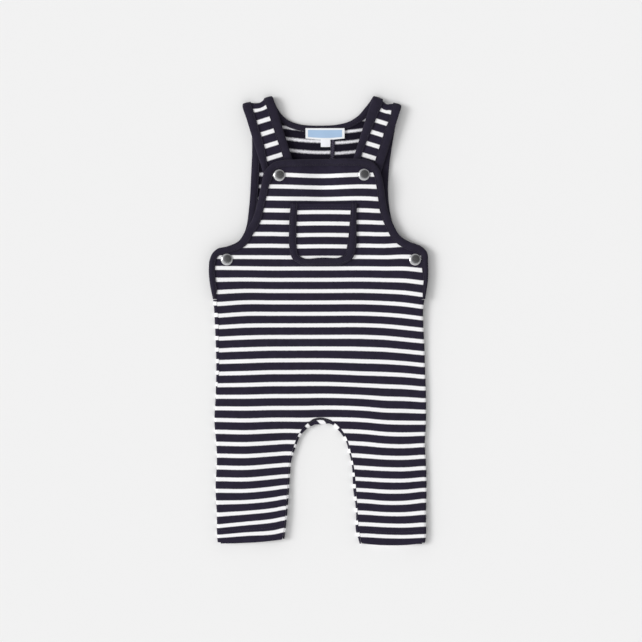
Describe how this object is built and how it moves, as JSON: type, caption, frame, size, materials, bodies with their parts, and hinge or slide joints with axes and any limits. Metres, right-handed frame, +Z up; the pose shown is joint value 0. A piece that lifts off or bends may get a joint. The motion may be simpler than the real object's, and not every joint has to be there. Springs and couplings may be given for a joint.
{
  "type": "dungarees",
  "caption": "Baby dungarees in striped jersey, laid flat on their back: bib with a patch pocket, straps folded over the shoulders and snapped to it, bound edges, waist tabs and hemmed legs.",
  "frame": {"origin": "middle of the rectangle that the garment covers on the floor that it lies on", "axes": "+X across the garment, to the right of someone looking at its front, +Y from the leg hems to the shoulders, +Z up out of its front"},
  "size_m": [0.2304, 0.4711, 0.0123],
  "materials": {
    "jersey_striped": "soft matte jersey, navy with narrow white stripes across, brushed inside",
    "tape_navy": "plain navy jersey binding, matte",
    "label_blue": "woven label, satin, light blue with a white border, bare",
    "tag_white": "woven size tag, white, bare",
    "snap_metal": "brushed nickel, bare"
  },
  "bodies": {
    "root": {"front": "jersey_striped", "back_left": "jersey_striped", "back_right": "jersey_striped", "inseam_strip": "jersey_striped", "bib_binding": "tape_navy", "neck_binding": "tape_navy", "armhole_binding_left": "tape_navy", "armhole_binding_right": "tape_navy", "pocket": "jersey_striped", "pocket_binding": "tape_navy", "neck_label": "label_blue", "size_tag": "tag_white", "snap_cap_bib_left": "snap_metal", "snap_cap_bib_right": "snap_metal", "snap_cap_waist_left": "snap_metal", "snap_cap_waist_right": "snap_metal", "snap_stud_bib_left": "snap_metal", "snap_stud_bib_right": "snap_metal", "snap_stud_waist_left": "snap_metal", "snap_stud_waist_right": "snap_metal", "snap_socket_bib_left": "snap_metal", "snap_socket_bib_right": "snap_metal", "snap_socket_waist_left": "snap_metal", "snap_socket_waist_right": "snap_metal"}
  },
  "joints": []
}
